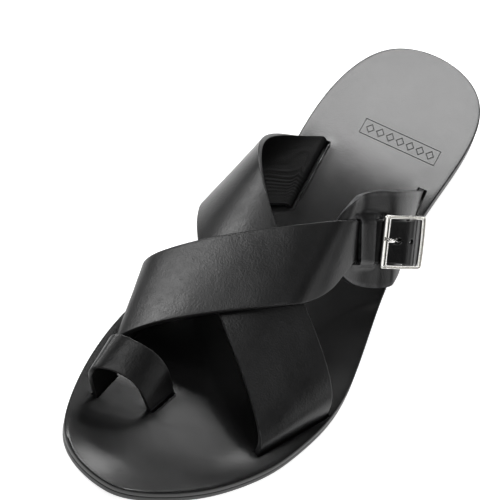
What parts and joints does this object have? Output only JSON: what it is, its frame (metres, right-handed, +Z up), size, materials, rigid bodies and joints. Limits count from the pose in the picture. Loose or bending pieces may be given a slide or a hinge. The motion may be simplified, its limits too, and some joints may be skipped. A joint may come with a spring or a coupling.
{
  "type": "slide sandal",
  "caption": "Open leather slide sandal, left foot: two-ply sole on a low heel, crossed straps, a ring for the big toe, and a buckled tab at the outer side",
  "frame": {"origin": "on the floor, under the middle of the shoe's box", "axes": "+Z up, +Y from toe to heel, +X to the outer (lateral) side of the left shoe"},
  "size_m": [0.1048, 0.2868, 0.0514],
  "materials": {
    "outsole_leather": "black sole leather, edge dressed satin",
    "heel_stack": "stacked leather heel, black, matt",
    "insole_leather": "smooth black leather, satin sheen",
    "strap_leather": "smooth black leather, soft sheen, fine grain",
    "nickel": "polished nickel"
  },
  "bodies": {
    "root": {"outsole": "outsole_leather", "heel": "heel_stack", "insole": "insole_leather", "upper": "strap_leather", "toe_loop": "strap_leather", "buckle_tab": "strap_leather", "buckle_frame": "nickel", "buckle_prong": "nickel"}
  },
  "joints": []
}
